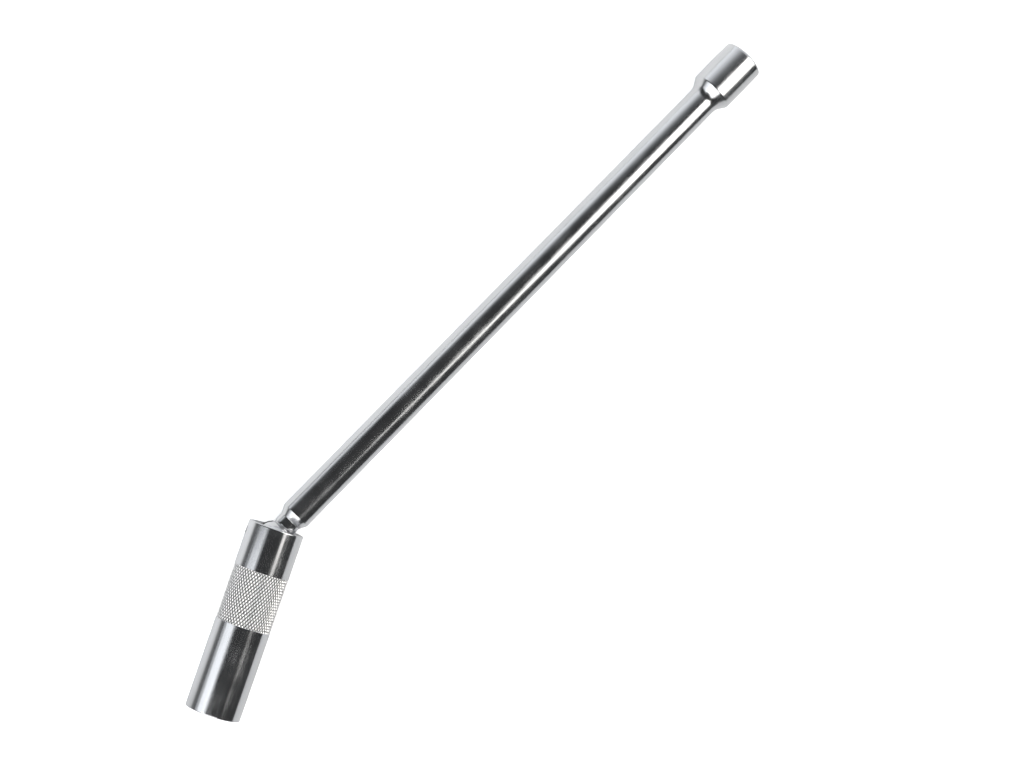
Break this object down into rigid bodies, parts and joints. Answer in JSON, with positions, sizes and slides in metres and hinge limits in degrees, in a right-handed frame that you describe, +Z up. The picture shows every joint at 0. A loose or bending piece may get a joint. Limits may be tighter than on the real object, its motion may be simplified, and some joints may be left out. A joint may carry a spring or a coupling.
{
  "type": "swivel spark plug socket wrench",
  "caption": "Long round bar with a square drive end, carrying on a ball joint a knurled tubular socket that turns spark plugs at an angle.",
  "frame": {"origin": "centre of the wrench's bounding box, on the ground that it lies on", "axes": "+X along the socket from its mouth towards the bar, -Y the side that the bar leans to, +Z up from the ground"},
  "size_m": [0.304, 0.13, 0.0212],
  "materials": {
    "bar_chrome": "polished chrome plate with fine lengthwise grain",
    "socket_chrome": "bright chrome plate, slightly grained, knurled band",
    "pin_steel": "ground hardened steel",
    "cup_brass": "turned brass",
    "spring_steel": "drawn spring wire",
    "sleeve_brass": "pressed brass",
    "ferrite": "ground dark ferrite magnet",
    "ring_steel": "blued spring steel"
  },
  "bodies": {
    "bar": {"shaft": "bar_chrome"},
    "pin": {"cross_pin": "pin_steel"},
    "socket": {"socket_body": "socket_chrome", "friction_cup": "cup_brass", "friction_spring": "spring_steel", "magnet_sleeve": "sleeve_brass", "magnet_ring": "ferrite", "snap_ring": "ring_steel"}
  },
  "joints": [
    {"name": "pin_swing", "type": "hinge", "parent": "bar", "child": "pin", "pos_m": [-0.08346, 0.05443, 0.0106], "axis": [0, 0, -1], "range_deg": [-2.2, 53.8]},
    {"name": "socket_tilt", "type": "hinge", "parent": "pin", "child": "socket", "pos_m": [-0.08346, 0.05443, 0.0106], "axis": [0, 1, 0], "range_deg": [-24, 24]}
  ]
}
